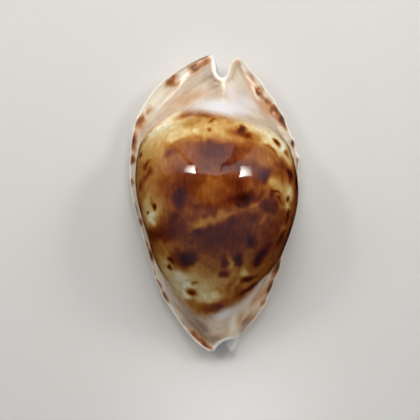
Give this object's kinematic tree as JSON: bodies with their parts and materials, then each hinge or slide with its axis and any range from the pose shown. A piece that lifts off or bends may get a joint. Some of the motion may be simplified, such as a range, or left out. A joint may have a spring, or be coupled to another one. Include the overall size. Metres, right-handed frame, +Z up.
{
  "type": "cowrie shell",
  "caption": "Glossy cowrie shell with an egg-shaped domed back, upturned margins all round, a notch at each end and a toothed slit aperture along the base that it rests on.",
  "frame": {"origin": "middle of the shell's length and width, on the surface that it rests on", "axes": "+Y towards the posterior end, -X towards the outer lip, +Z up through the domed back"},
  "size_m": [0.0345, 0.06, 0.0276],
  "materials": {
    "shell": "natural high gloss, brown and maroon mottling over cream on the back, pale spotted margins and base"
  },
  "bodies": {
    "root": {"shell": "shell"}
  },
  "joints": []
}
